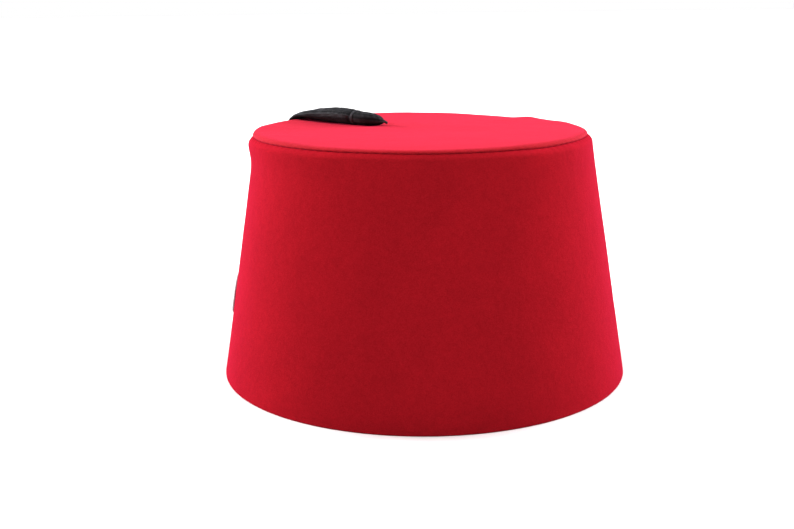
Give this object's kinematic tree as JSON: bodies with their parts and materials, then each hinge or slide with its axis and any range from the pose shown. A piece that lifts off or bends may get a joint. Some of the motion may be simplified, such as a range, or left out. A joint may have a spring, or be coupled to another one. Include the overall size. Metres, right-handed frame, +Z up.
{
  "type": "fez hat",
  "caption": "Stiff tapered red felt fez with a flat sewn top, a black thread tassel laid over the edge and a small round embroidered side badge.",
  "frame": {"origin": "centre of the rim, in the plane that the hat stands on", "axes": "+Z up through the top, -Y towards the side shown to a viewer, +X to that viewer's right; the tassel falls over the -X +Y side"},
  "size_m": [0.1928, 0.1928, 0.1226],
  "materials": {
    "wall_felt": "matte",
    "top_felt": "matte",
    "tassel_thread": "satin",
    "badge_embroidery": "satin"
  },
  "bodies": {
    "root": {"crown_wall": "wall_felt", "crown_top": "top_felt", "tassel_stem": "tassel_thread", "tassel_head": "tassel_thread", "tassel_tie": "tassel_thread", "tassel_skirt": "tassel_thread", "side_badge": "badge_embroidery"}
  },
  "joints": []
}
